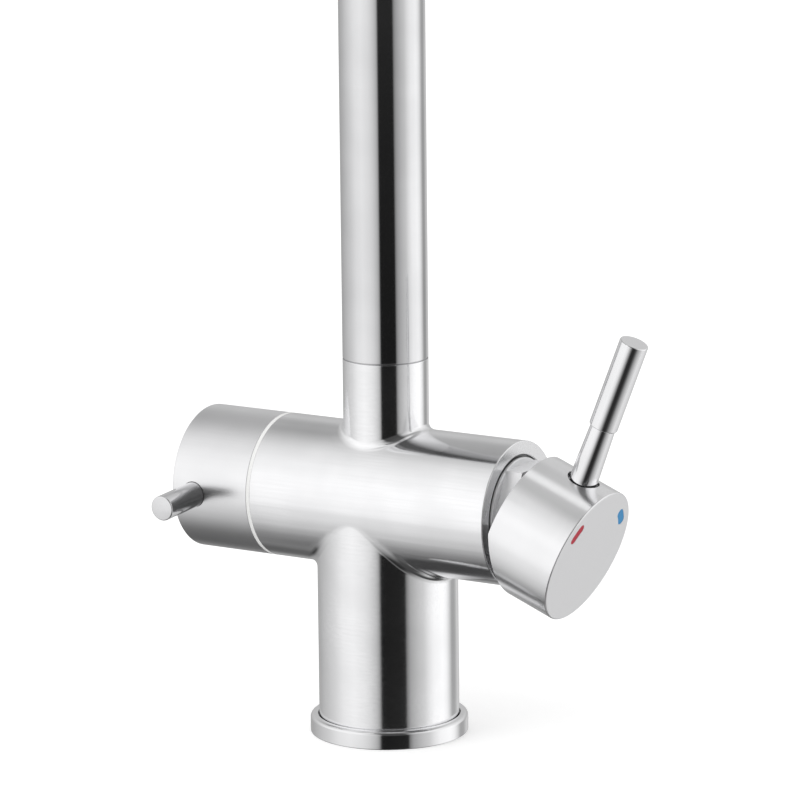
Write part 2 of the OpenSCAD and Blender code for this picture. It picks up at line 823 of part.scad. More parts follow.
module spigot_seals() {
    color("dimgray") for (z = seal_heights)
        translate([0, 0, z]) rotate_extrude()
            translate([spigot_r - seal_groove_deep / 2, 0]) circle(r = spigot_seal_r);
}

module spout_tube() {
    color("silver") difference() {
        spout_run(tube_foot, arm_end, spout_r);
        spout_run(tube_foot - cut, arm_end + cut, tube_bore_r);
        rod_z(collar_foot, arm_z, collar_r + snug_gap, 0, -reach);
    }
}

module spout_end_cap() {
    lip = collar_r - spout_r + cap_plug_play;
    plug = tube_bore_r - snug_gap;
    color("silver") translate([0, -arm_end, arm_z]) rotate([90, 0, 0]) rotate_extrude() polygon(concat(
        [[0, lip], [plug, lip], [plug, 0], [spout_r, 0]],
        arc(spout_r - end_cap_edge, end_cap_t - end_cap_edge, end_cap_edge, 0, 90), [[0, end_cap_t]]));
}

module hose_plug() {
    color("goldenrod") difference() {
        union() {
            rod_z(plug_socket_foot + plug_foot_gap, hose_start, plug_r);
            rod_z(hose_start, hose_start + barb_l, hose_bore_r - snug_gap);
        }
        rod_z(spigot_foot, hose_start + barb_l + cut, barb_bore_r);
    }
}

module filtered_hose_run(foot, end, r) {
    spout_run(foot, reach - hose_turn_r, r);
    translate([0, hose_turn_r - reach, arm_z - hose_turn_r]) rotate([90, 0, 0]) rotate([90, 0, 90])
        rotate_extrude(angle = 90) translate([hose_turn_r, 0]) circle(r = r);
    rod_z(end, arm_z - hose_turn_r, r, 0, -reach);
}

module filtered_hose() {
    color("steelblue") difference() {
        filtered_hose_run(hose_start, hose_end, hose_d / 2);
        filtered_hose_run(hose_start - cut, hose_end - cut, hose_bore_r);
    }
}

module outlet_collar() {
    seat = aerator_top + aerator_seal_t + 2 * end_play;
    color("silver") difference() {
        rod_z(collar_foot, collar_top, collar_r, 0, -reach);
        rod_z(collar_foot - cut, seat, collar_bore_r, 0, -reach);
        rod_z(seat - cut, collar_top + cut, collar_bore_r - aerator_seat_w, 0, -reach);
    }
}

module aerator_seal() {
    foot = aerator_top + end_play;
    outer = collar_bore_r - snug_gap;
    color("dimgray") ring_z(foot, foot + aerator_seal_t, outer, collar_bore_r - aerator_seat_w, 0, -reach);
}

module aerator_shell() {
    bore = collar_bore_r - aerator_wall;
    color("silver") difference() {
        rod_z(aerator_foot, aerator_top, collar_bore_r - snug_gap, 0, -reach);
        rod_z(aerator_foot + aerator_lip_h, aerator_top + cut, bore, 0, -reach);
        rod_z(aerator_foot - cut, aerator_foot + cut, bore - aerator_lip_w, 0, -reach);
    }
}

module aerator_insert() {
    outer = collar_bore_r - aerator_wall - snug_gap;
    color("lightgray") difference() {
        rod_z(aerator_foot + aerator_lip_h, aerator_top - aerator_headroom, outer, 0, -reach);
        rod_z(aerator_foot, aerator_top, nozzle_r + snug_gap, 0, -reach);
        for (i = [0 : jet_count - 1]) translate([0, -reach, 0]) rotate([0, 0, 360 / jet_count * i])
            rod_z(aerator_foot, aerator_top, jet_r, collar_bore_r - jet_inset, 0);
    }
}

module filtered_nozzle() {
    color("white") difference() {
        union() {
            rod_z(aerator_foot - nozzle_stand, hose_end, nozzle_r, 0, -reach);
            rod_z(hose_end, hose_end + nozzle_barb_l, hose_bore_r - snug_gap, 0, -reach);
        }
        rod_z(aerator_foot - cut, hose_end + nozzle_barb_l + cut, barb_bore_r, 0, -reach);
    }
}

base_seal();
base_ring();
base_insert();
mixer_body();
water_core();
hot_pipe();
cold_pipe();
filtered_pipe();
valve_seal();
valve_disc_fixed();
valve_disc_moving();
valve_body();
valve_spindle();
spindle_clip();
friction_washer();
filter_knob();
filter_lever();
port_seals();
cartridge_base();
ceramic_disc_fixed();
ceramic_disc_moving();
disc_carrier();
cartridge_body();
cartridge_rotor();
stem_pin();
cartridge_stem();
cartridge_nut();
handle_cap();
lever_stem();
lever_grip();
hot_mark();
cold_mark();
hose_nipple();
swivel_washer();
spout_screw();
spout_spigot();
spigot_seals();
spout_tube();
spout_end_cap();
hose_plug();
filtered_hose();
outlet_collar();
aerator_seal();
aerator_shell();
aerator_insert();
filtered_nozzle();
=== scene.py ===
import json
from math import atan2, cos, pi, radians, sin, sqrt

import bmesh
import bpy
from mathutils import Matrix, Vector


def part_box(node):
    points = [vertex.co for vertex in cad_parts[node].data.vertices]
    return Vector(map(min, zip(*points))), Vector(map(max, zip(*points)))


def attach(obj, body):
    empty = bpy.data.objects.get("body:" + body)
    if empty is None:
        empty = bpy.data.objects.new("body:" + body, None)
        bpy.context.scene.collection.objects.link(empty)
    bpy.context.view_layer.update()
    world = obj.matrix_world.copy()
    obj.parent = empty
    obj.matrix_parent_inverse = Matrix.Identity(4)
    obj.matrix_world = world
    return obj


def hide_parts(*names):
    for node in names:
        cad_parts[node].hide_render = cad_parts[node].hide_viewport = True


# Three-way kitchen tap in brushed steel. Z is up, -Y is the user's side, +X is the mixer side.
# Sizes in the dictionaries are in millimetres and degrees. Blender works in metres.
mm = 0.001
weld = 0.002 * mm     # points closer than this are merged
past = 1              # how far a cutter reaches past what it cuts
snug = 0.05           # between a piece and the hole that it fills

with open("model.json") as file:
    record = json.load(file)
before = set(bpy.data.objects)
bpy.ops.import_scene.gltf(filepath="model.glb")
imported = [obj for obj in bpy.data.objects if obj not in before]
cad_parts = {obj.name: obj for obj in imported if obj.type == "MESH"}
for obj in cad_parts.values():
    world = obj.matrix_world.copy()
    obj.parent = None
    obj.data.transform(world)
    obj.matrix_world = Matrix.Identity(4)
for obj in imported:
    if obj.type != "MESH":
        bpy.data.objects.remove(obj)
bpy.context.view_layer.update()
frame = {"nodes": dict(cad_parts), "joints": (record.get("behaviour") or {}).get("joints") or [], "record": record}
nodes = frame["nodes"]
joints = {joint["name"]: joint for joint in frame["joints"]}
slots = {row["node"]: row["material_slot"] for row in frame["record"]["subparts"]}
bodyLow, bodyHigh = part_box("mixer_body")
barrelRadius = bodyHigh.y / mm
barrelZ = joints["mixer_tilt"]["pos_m"][2] / mm
barrelLeft = bodyLow.x / mm
barrelRight = bodyHigh.x / mm
neckTop = bodyHigh.z / mm
pivotX = joints["mixer_tilt"]["pos_m"][0] / mm
print("frame loaded:", len(nodes), "nodes")


# Camera at the photograph's angle

cameraSetup = {
    "around": 31.427,       # degrees from -Y towards +X
    "above": 12.041,
    "roll": -0.606,
    "distance": 1631.4,
    "lens": 225.34,
    "sensor": 36,
    "sideways": 4.574,      # aim, along the picture's horizontal
    "height": 110.94,       # aim, above the worktop
    "nearest": 50,
}


def makeCamera(setup):
    around, above, roll = (radians(setup[key]) for key in ("around", "above", "roll"))
    towards = Vector((sin(around) * cos(above), -cos(around) * cos(above), sin(above)))
    level = Vector((cos(around), sin(around), 0))
    right = level * cos(roll) + towards.cross(level) * sin(roll)
    place = level * setup["sideways"] + Vector((0, 0, setup["height"])) + towards * setup["distance"]
    data = bpy.data.cameras.new("camera")
    data.sensor_width = setup["sensor"]
    data.lens = setup["lens"]
    data.clip_start = setup["nearest"] * mm
    camera = bpy.data.objects.new("camera", data)
    axes = Matrix((right, towards.cross(right), towards)).transposed()
    camera.matrix_world = Matrix.Translation(place * mm) @ axes.to_4x4()
    bpy.context.scene.collection.objects.link(camera)
    bpy.context.scene.camera = camera


makeCamera(cameraSetup)
print("camera placed")


# Shader maths

class Wire:
    def __init__(self, graph, socket):
        self.graph, self.socket = graph, socket

    def maths(self, operation, *others):
        return self.graph.maths(operation, self, *others)

    def __add__(self, other):
        return self.graph.maths("ADD", self, other)

    def __radd__(self, other):
        return self.graph.maths("ADD", other, self)

    def __sub__(self, other):
        return self.graph.maths("SUBTRACT", self, other)

    def __rsub__(self, other):
        return self.graph.maths("SUBTRACT", other, self)

    def __mul__(self, other):
        return self.graph.maths("MULTIPLY", self, other)

    def __rmul__(self, other):
        return self.graph.maths("MULTIPLY", other, self)

    def __truediv__(self, other):
        return self.graph.maths("DIVIDE", self, other)

    def step(self, low, high):     # 0 below low, 1 above high, smooth between
        settings = {"interpolation_type": "SMOOTHSTEP"}
        return self.graph.node("ShaderNodeMapRange", settings, {0: self, 1: low, 2: high})

    def ramp(self, stops):     # each stop is a place from 0 to 1 and its colour
        return self.graph.node("ShaderNodeValToRGB", {"stops": stops}, {0: self})


def colour(value):     # a grey level, or red, green and blue
    return (value,) * 3 + (1,) if isinstance(value, (int, float)) else (*value, 1)


class Graph:
    def __init__(self, tree):
        self.tree = tree
        tree.nodes.clear()

    def node(self, kind, settings=None, inputs=None, output=0):
        made = self.tree.nodes.new(kind)
        for name, value in (settings or {}).items():
            if name == "stops":
                self.setStops(made.color_ramp.elements, value)
            else:
                setattr(made, name, value)
        for key, value in (inputs or {}).items():
            if isinstance(value, Wire):
                self.tree.links.new(value.socket, made.inputs[key])
            else:
                made.inputs[key].default_value = value
        return Wire(self, made.outputs[output] if made.outputs else None)

    def setStops(self, elements, stops):
        while len(elements) < len(stops):
            elements.new(1.0)
        for element, (position, value) in zip(elements, stops):
            element.position = position
            element.color = colour(value)

    def maths(self, operation, *values):
        return self.node("ShaderNodeMath", {"operation": operation}, dict(enumerate(values)))

    def blend(self, factor, *ends):     # of two colours
        first, second = (end if isinstance(end, Wire) else colour(end) for end in ends)
        return self.node("ShaderNodeMix", {"data_type": "RGBA"}, {0: factor, 6: first, 7: second}, 2)

    def local(self, place, stretch=(1, 1, 1)):     # a point in a piece's own frame, in mm
        spot = self.node("ShaderNodeTexCoord", None, None, "Object")
        scale = [mm / share for share in stretch]
        inputs = {0: spot, "Location": place.translation, "Rotation": place.to_euler(), "Scale": scale}
        return self.node("ShaderNodeMapping", {"vector_type": "TEXTURE"}, inputs)

    def parts(self, vector):
        split = self.node("ShaderNodeSeparateXYZ", None, {0: vector})
        return [Wire(self, socket) for socket in split.socket.node.outputs]

    def joined(self, x, y, z):
        return self.node("ShaderNodeCombineXYZ", None, {0: x, 1: y, 2: z})

    def lightPath(self, kind):
        return self.node("ShaderNodeLightPath", None, None, kind)

    def noise(self, vector, scale, detail=2.0, roughness=0.5):
        inputs = {"Vector": vector, "Scale": scale, "Detail": detail, "Roughness": roughness}
        return self.node("ShaderNodeTexNoise", None, inputs)


def asMaterial(name, build):
    material = bpy.data.materials.new(name)
    material.use_nodes = True
    graph = Graph(material.node_tree)
    graph.node("ShaderNodeOutputMaterial", None, {0: build(graph)})
    return material


def bumped(graph, height, distance):
    return graph.node("ShaderNodeBump", None, {"Distance": distance * mm, "Height": height})


# Frames of the pieces: each has its local Z along the piece's own axis

def upright(x=0, y=0, z=0):
    return Matrix.Translation(Vector((x, y, z)) * mm)


def along(x=0):     # Z along the barrel
    return upright(x, 0, barrelZ) @ Matrix.Rotation(pi / 2, 4, "Y")


# Materials

def linesAround(graph, place, setup):
    # Fine lines that run round a turned piece, as coordinates for a noise, and the height on its axis
    x, y, z = graph.parts(graph.local(place))
    radius = (x * x + y * y).maths("SQRT")
    flat = graph.node("ShaderNodeVectorMath", {"operation": "NORMALIZE"}, {0: graph.joined(x, y, 0.0)})
    u, v = graph.parts(flat)[:2]
    across, fine = setup["across"], setup["fine"]
    return graph.joined(u * across + radius * fine, v * across, z * fine), z


def linesAlongSpout(graph, setup):
    # The same round the bent tube, from the distance along its middle
    radius, bend = spoutSetup["radius"], spoutSetup["bend"]
    x, y, z = graph.parts(graph.local(upright(0, -bend, spoutSetup["armUp"] - bend)))
    out, up = y.maths("MAXIMUM", 0.0), z.maths("MAXIMUM", 0.0)
    outward = (out * out + up * up).maths("SQRT") - bend
    run = z.maths("MINIMUM", 0.0) + up.maths("ARCTAN2", out) * bend - y.maths("MINIMUM", 0.0)
    across = setup["across"] / radius
    return graph.joined(x * across, outward * across, run * setup["fine"]), run


def straightLines(graph, place, setup):     # along X
    spot = graph.local(place, (setup["along"], setup["fine"], setup["fine"]))
    return spot, graph.parts(graph.local(place))[0]


def steel(name, setup, place=Matrix.Identity(4), matte=None, paintedShade=None):
    # Levels are measured along the piece's axis. A matte face is rougher between its two levels and on, and
    # its lines are fainter. A recess gets painted shade: dark grey up to its first level, and bright from its
    # second.
    def build(graph):
        if setup["lines"] == "around":
            spot, level = linesAround(graph, place, setup)
        elif setup["lines"] == "spout":
            spot, level = linesAlongSpout(graph, setup)
        else:
            spot, level = straightLines(graph, place, setup)
        lines = graph.noise(spot, 1.0, detail=3.0, roughness=0.6)
        cloud = graph.noise(graph.local(place), setup["cloud"])
        rough = setup["roughness"] + setup["smudge"] * (cloud - 0.5)
        tone = graph.blend(cloud.step(0.3, 0.7), setup["dark"], setup["light"])
        if matte:
            face = level.step(*matte["levels"])
            lines = 0.5 + (lines - 0.5) * (1 - matte["calmer"] * face)
            rough = rough + matte["rougher"] * face
            tone = graph.blend(face, tone, setup["light"])
        if paintedShade:
            # painted shade: the tone turns dark grey deep in a recess
            tone = graph.blend(level.step(*paintedShade), setup["shadeTone"], tone)
        inputs = {
            "Base Color": graph.blend(lines.step(0.35, 0.65) * setup["streak"], tone, setup["dark"]),
            "Metallic": setup["metal"],
            "Roughness": rough + setup["vary"] * (lines - 0.5),
            "Normal": bumped(graph, lines, setup["relief"]),
        }
        return graph.node("ShaderNodeBsdfPrincipled", None, inputs)
    return asMaterial(name, build)


polished = {
    "dark": (0.76, 0.76, 0.77),
    "light": (0.82, 0.82, 0.83),
    # tone of the painted shade in a recess
    "shadeTone": 0.12,
    "roughness": 0.09,
    "vary": 0.04,
    "smudge": 0.03,
    "streak": 0.2,
    "lines": "around",
    "fine": 7.0,        # lines per mm
    "across": 0.6,      # how much a line changes on its way round
    "along": 0.05,      # how much a straight line changes per mm
    "cloud": 0.05,
    "relief": 0.0004,
    "metal": 1.0,       # less for a blasted face, which scatters some of the light
}
bright = {**polished, "dark": (0.89, 0.89, 0.9), "light": (0.95, 0.95, 0.96), "roughness": 0.11}
brushed = {**bright, "vary": 0.09, "streak": 0.4, "lines": "straight", "fine": 1.3, "along": 0.03,
           "relief": 0.005}
satin = {**bright, "roughness": 0.24, "vary": 0.06, "streak": 0.3, "fine": 2.0, "relief": 0.0003}
blasted = {**satin, "light": (0.97, 0.97, 0.98), "streak": 0.12}
plain = {**polished, "dark": (0.52, 0.52, 0.53), "light": (0.6, 0.6, 0.61), "roughness": 0.3, "vary": 0.15}


def brass(graph):
    spot = graph.local(Matrix.Identity(4))
    x, y, z = graph.parts(spot)
    rings = graph.noise(graph.joined(x * 0.3, y * 0.3, z * 6.0), 1.0)
    cloud = graph.noise(spot, 0.12, detail=3.0)
    inputs = {
        "Base Color": graph.blend(cloud.step(0.35, 0.7), (0.66, 0.47, 0.2), (0.78, 0.6, 0.3)),
        "Metallic": 1.0,
        "Roughness": 0.24 + 0.16 * rings,
        "Normal": bumped(graph, rings, 0.002),
    }
    return graph.node("ShaderNodeBsdfPrincipled", None, inputs)


def copper(graph):
    x, y, z = graph.parts(graph.local(Matrix.Identity(4)))
    drawn = graph.noise(graph.joined(x * 5.0, y * 5.0, z * 0.1), 1.0)
    inputs = {
        "Base Color": graph.blend(drawn, (0.7, 0.36, 0.22), (0.85, 0.5, 0.34)),
        "Metallic": 1.0,
        "Roughness": 0.22 + 0.2 * drawn,
    }
    return graph.node("ShaderNodeBsdfPrincipled", None, inputs)


def rubber(graph):
    grain = graph.noise(graph.local(Matrix.Identity(4)), 4.0)
    inputs = {
        "Base Color": graph.blend(grain, 0.02, 0.045),
        "Roughness": 0.6 + 0.2 * grain,
        "Normal": bumped(graph, grain, 0.02),
    }
    return graph.node("ShaderNodeBsdfPrincipled", None, inputs)


def moulded(dark, light, roughness=0.35, shine=0.5):     # a plastic with faint flow marks and a fine grain
    def build(graph):
        spot = graph.local(Matrix.Identity(4))
        flow = graph.noise(spot, 0.08)
        grain = graph.noise(spot, 3.0)
        inputs = {
            "Base Color": graph.blend(flow, dark, light),
            "Roughness": roughness + 0.1 * grain,
            "Normal": bumped(graph, grain, 0.004),
            "Specular IOR Level": shine,
        }
        return graph.node("ShaderNodeBsdfPrincipled", None, inputs)
    return build


cadFinishes = {
    "plain_steel": steel("plainSteel", plain),
    "brass": asMaterial("brass", brass),
    "copper_pipe": asMaterial("copperPipe", copper),
    "rubber": asMaterial("rubber", rubber),
    "ceramic": asMaterial("ceramic", moulded((0.84, 0.83, 0.8), (0.9, 0.89, 0.86), 0.15)),
    "white_plastic": asMaterial("whitePlastic", moulded((0.83, 0.83, 0.82), (0.88, 0.88, 0.87))),
    "grey_plastic": asMaterial("greyPlastic", moulded((0.07, 0.07, 0.075), (0.1, 0.1, 0.105))),
    "red_plastic": asMaterial("redInlay", moulded((0.45, 0.02, 0.04), (0.53, 0.03, 0.06), 0.3, 0.15)),
    "blue_plastic": asMaterial("blueInlay", moulded((0.03, 0.24, 0.52), (0.05, 0.3, 0.6), 0.3, 0.15)),
    "hose_plastic": asMaterial("hosePlastic", moulded((0.06, 0.2, 0.45), (0.1, 0.27, 0.55))),
    "satin_steel": steel("satinSteel", satin),
    "polished_steel": steel("polishedSteel", polished),
}
for node, slot in slots.items():
    finishes = nodes[node].data.materials
    finishes.clear()
    finishes.append(cadFinishes[slot])
# The slip washer of the spout is filled with graphite, so it shines a little
graphite = {**plain, "dark": (0.42, 0.42, 0.43), "light": (0.5, 0.5, 0.51), "roughness": 0.2}
nodes["swivel_washer"].data.materials[0] = steel("graphiteWasher", graphite)
print("materials made")


# Modelling helpers

fineEdge = 0.2      # broken edges that hardly show
wideEdge = 0.3


def turned(profile, place=None, steps=128, rounding=4, closed=True):
    # Turns a profile of (radius, height, size of a rounded corner) about Z
    bm = bmesh.new()
    corners = [bm.verts.new((point[0] * mm, 0, point[1] * mm)) for point in profile]
    last = corners[:1] if closed and profile[0][0] > 0 else []
    for start, end in zip(corners, corners[1:] + last):
        bm.edges.new((start, end))
    for corner, point in zip(corners, profile):
        if len(point) > 2:
            roundCorners(bm, [corner], point[2], rounding)
    bmesh.ops.spin(bm, geom=bm.verts[:] + bm.edges[:], cent=(0, 0, 0), axis=(0, 0, 1), angle=2 * pi,
                   steps=steps, use_merge=True)
    bmesh.ops.remove_doubles(bm, verts=bm.verts, dist=weld)
    bmesh.ops.recalc_face_normals(bm, faces=bm.faces)
    if place:
        bmesh.ops.transform(bm, matrix=place, verts=bm.verts)
    return bm


def roundCorners(bm, corners, size, segments):
    bmesh.ops.bevel(bm, geom=corners, offset=size * mm, segments=segments, profile=0.5, affect="VERTICES",
                    material=-1)


def pour(source, target):     # adds one bmesh to another
    mesh = bpy.data.meshes.new("part")
    source.to_mesh(mesh)
    source.free()
    target.from_mesh(mesh)
    bpy.data.meshes.remove(mesh)


def skin(rows, around):
    # A sheet closed round one way: each row is a function of the step, and gives a point in mm
    bm = bmesh.new()
    bmesh.ops.create_grid(bm, x_segments=around, y_segments=len(rows) - 1, size=1)
    for vert in bm.verts:
        step = round((vert.co.x + 1) / 2 * around)
        row = round((vert.co.y + 1) / 2 * (len(rows) - 1))
        vert.co = Vector(rows[row](step % around)) * mm
    bmesh.ops.remove_doubles(bm, verts=bm.verts, dist=weld)
    return bm


def asObject(bm, name):
    mesh = bpy.data.meshes.new(name)
    bm.to_mesh(mesh)
    bm.free()
    piece = bpy.data.objects.new(name, mesh)
    bpy.context.scene.collection.objects.link(piece)
    return piece


def spun(name, profile, place=None, steps=128, rounding=4):
    return asObject(turned(profile, place, steps, rounding), name)


def rod(radius, low, high, place=None, steps=96, lowFlare=0, highFlare=0):
    # A round cutter; a flare widens its end, past it too, and so breaks the edge of the hole
    profile = [(0, low), (radius, low), (radius, high), (0, high)]
    if lowFlare:
        profile[:2] = [(0, low - past), (radius + lowFlare + past, low - past), (radius, low + lowFlare)]
    if highFlare:
        wide = radius + highFlare + past
        profile[-2:] = [(radius, high - highFlare), (wide, high + past), (0, high + past)]
    return spun("cutter", profile, place, steps)


def block(size, place):     # a square cutter, about its middle
    bm = bmesh.new()
    bmesh.ops.create_cube(bm, size=mm, matrix=place @ Matrix.Diagonal((*size, 1)))
    return asObject(bm, "cutter")


def carve(piece, cutters, operation="DIFFERENCE"):
    for cutter in cutters:
        change = piece.modifiers.new("carve", "BOOLEAN")
        change.operation = operation
        change.solver = "EXACT"
        change.object = cutter
    graph = bpy.context.evaluated_depsgraph_get()
    graph.update()
    shape = bpy.data.meshes.new_from_object(piece.evaluated_get(graph))
    bm = bmesh.new()     # the cuts leave a few points on top of each other
    bm.from_mesh(shape)
    bmesh.ops.remove_doubles(bm, verts=bm.verts, dist=weld)
    bmesh.ops.dissolve_degenerate(bm, edges=bm.edges, dist=weld / 2)
    bm.to_mesh(shape)
    bm.free()
    piece.modifiers.clear()
    old, piece.data = piece.data, shape
    name = old.name
    bpy.data.meshes.remove(old)
    shape.name = name
    for cutter in cutters:
        data = cutter.data
        bpy.data.objects.remove(cutter)
        bpy.data.meshes.remove(data)


def finish(piece, material, body, replaced, sharp=40):
    # Shading, material, and the body and nodes that the piece stands for
    mesh = piece.data
    mesh.materials.clear()
    mesh.materials.append(material)
    for polygon in mesh.polygons:
        polygon.use_smooth = True
        polygon.material_index = 0
    mesh.set_sharp_from_angle(angle=radians(sharp))
    weighted = piece.modifiers.new("shading", "WEIGHTED_NORMAL")
    weighted.keep_sharp = True
    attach(piece, body)
    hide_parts(*replaced)


# Body: column, barrel and neck in one shell with rolled fillets

shell = {
    "column": 23.1,
    "columnBore": 19.5,
    "foot": bodyLow.z / mm,
    "neck": 14.0,
    "neckBore": 11.0,
    "barrelBore": 19.15,
    "columnFillet": (2.4, 6.8),     # at the sides, and at the front and back
    "neckFillet": (1.8, 4.2),
    "edge": 0.3,        # broken edges, and narrow rows of faces beside them
    "leftEdge": 0.1,
    "neckEdge": 0.05,
    "besideFace": 0.1,
    "besideWall": 0.2,
    "edgeSteps": 4,
    "flare": 0.25,
    "patch": 30.0,      # half the length of barrel that the sheets at the column and the neck cover
    "around": 384,      # steps round the column, a multiple of 8
    "filletSteps": 8,
    "patchSteps": 12,
    "seam": 0.01,       # the sheets are merged where they meet within this
    "screwUp": 107.2,
    "screw": 2.5,
    "turnedFace": (-0.3, -0.05),    # from the barrel's right end
}


def rolled(pillar, fillet, side):
    # Rows of the sheet round an upright tube that meets the barrel; side is -1 below it and 1 above
    barrel, around, patch = barrelRadius, shell["around"], shell["patch"]

    def angle(step):
        return 2 * pi * step / around

    def size(step):
        return fillet[0] + (fillet[1] - fillet[0]) * sin(angle(step)) ** 2

    def ball(step):     # middle of the ball that rolls in the corner
        x, y = (pillar + size(step)) * cos(angle(step)), (pillar + size(step)) * sin(angle(step))
        return Vector((x, y, side * sqrt(max(0, (barrel + size(step)) ** 2 - y * y))))

    def onPillar(step):
        return Vector((pillar * cos(angle(step)), pillar * sin(angle(step)), ball(step).z))

    def onBarrel(step):
        middle, share = ball(step), barrel / (barrel + size(step))
        return Vector((middle.x, middle.y * share, middle.z * share))

    def arc(share):
        def row(step):
            middle = ball(step)
            start, end = onPillar(step) - middle, onBarrel(step) - middle
            whole = start.angle(end)
            turn = (start * sin((1 - share) * whole) + end * sin(share * whole)) / sin(whole)
            return lifted(middle + turn)
        return row

    def border(step):     # a rectangle on the unrolled barrel
        eighth = around // 8
        quarter, rest = divmod((step + eighth) % around, 2 * eighth)
        level = rest / eighth - 1
        return [(patch, level), (-level * patch, 1), (-patch, -level), (level * patch, -1)][quarter]

    def field(share):
        def row(step):
            inner = onBarrel(step)
            x, level = border(step)
            swing = (1 - share) * atan2(inner.y, abs(inner.z)) + share * level * pi / 2
            across = (1 - share) * inner.x + share * x
            return lifted(Vector((across, barrel * sin(swing), side * barrel * cos(swing))))
        return row

    def lifted(point):
        return point + Vector((0, 0, barrelZ))

    filletSteps, patchSteps = shell["filletSteps"], shell["patchSteps"]
    rows = [lambda step: lifted(onPillar(step))]
    rows += [arc(i / filletSteps) for i in range(1, filletSteps + 1)]
    rows += [field(i / patchSteps) for i in range(1, patchSteps + 1)]
    return rows


def endRows(radius, level, inward, edge):
    # Rows from the middle of a flat end to just past its rounded edge
    around, steps = shell["around"], shell["edgeSteps"]
    inner = radius - edge

    def ring(r, z):
        return lambda step: (r * cos(2 * pi * step / around), r * sin(2 * pi * step / around), z)

    rows = [ring(0, level), ring(inner - shell["besideFace"], level), ring(inner, level)]
    for i in range(1, steps + 1):
        turn = pi / 2 * i / steps
        rows.append(ring(inner + edge * sin(turn), level + inward * edge * (1 - cos(turn))))
    return rows + [ring(radius, level + inward * (edge + shell["besideWall"]))]


def makeBody():
    s, around = shell, shell["around"]
    column = endRows(s["column"], s["foot"], 1, s["edge"]) + rolled(s["column"], s["columnFillet"], -1)
    neck = endRows(s["neck"], neckTop, -1, s["neckEdge"]) + rolled(s["neck"], s["neckFillet"], 1)
    bm = bmesh.new()
    pour(skin(column, around), bm)
    pour(skin(neck, around), bm)
    for end, side, edge in ((barrelRight, 1, s["edge"]), (barrelLeft, -1, s["leftEdge"])):
        profile = [(barrelRadius, side * s["patch"]), (barrelRadius, end - side * (edge + s["besideWall"])),
                   (barrelRadius, end, edge), (barrelRadius - edge - s["besideFace"], end), (0, end)]
        pour(turned(profile, along(), around // 2, s["edgeSteps"], closed=False), bm)
    bmesh.ops.remove_doubles(bm, verts=bm.verts, dist=s["seam"] * mm)
    bmesh.ops.recalc_face_normals(bm, faces=bm.faces)
    print("body shell:", len(bm.faces), "faces,", sum(not e.is_manifold for e in bm.edges), "open edges")
    body = asObject(bm, "tapBody")
    screwPlace = upright(0, 0, s["screwUp"]) @ Matrix.Rotation(-pi / 2, 4, "X")
    flare = s["flare"]
    carve(body, [
        rod(s["barrelBore"], barrelLeft, barrelRight, along(), steps=160, lowFlare=flare, highFlare=flare),
        rod(s["columnBore"], s["foot"], barrelZ - past, steps=160, lowFlare=flare),
        rod(s["neckBore"], barrelZ + past, neckTop, steps=128, highFlare=flare),
        rod(s["screw"], s["neckBore"] - past, s["neck"] + past, screwPlace, steps=48)])
    face = {"levels": [barrelRight + level for level in s["turnedFace"]], "rougher": 0.16, "calmer": 0.75}
    bodySteel = {**brushed, "light": (0.97, 0.97, 0.98)}
    finish(body, steel("brushedSteel", bodySteel, matte=face), "tap_body", ["mixer_body"], sharp=30)


makeBody()
print("body made")


# Base ring

ringSetup = {
    "outer": 26.0,
    "height": 6.0,
    "round": 1.3,
    "well": 23.45,
    "ledge": 1.6,
    "inner": 19.45,
    "grooveOuter": 23.925,
    "grooveInner": 21.525,
    "groove": 1.0,
}


def makeBaseRing():
    s = ringSetup
    profile = [
        (s["inner"], 0, fineEdge), (s["grooveInner"], 0), (s["grooveInner"], s["groove"]),
        (s["grooveOuter"], s["groove"]), (s["grooveOuter"], 0), (s["outer"], 0, wideEdge),
        (s["outer"], s["height"], s["round"]), (s["well"], s["height"], wideEdge), (s["well"], s["ledge"]),
        (s["inner"], s["ledge"], fineEdge),
    ]
    ring = spun("baseRing", profile, steps=192, rounding=6)
    ringSteel = {**polished, "dark": (0.86, 0.86, 0.87), "light": (0.91, 0.91, 0.92)}
    finish(ring, steel("ringSteel", ringSteel), "tap_body", ["base_ring"])


makeBaseRing()
print("base ring made")


# Spout: one bent tube with a closed end

tubeLow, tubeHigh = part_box("spout_tube")
tubeRadius = tubeHigh.x / mm
spoutSetup = {
    "radius": tubeRadius,
    "wall": 1.2,
    "foot": tubeLow.z / mm,
    "bend": 30.0,
    "armUp": tubeHigh.z / mm - tubeRadius,
    "armEnd": -tubeLow.y / mm,
    "reach": 200.0,
    "edge": 0.05,
    "edgeSteps": 4,
    "besideEdge": 0.3,
    "around": 160,
    "bendSteps": 40,
}


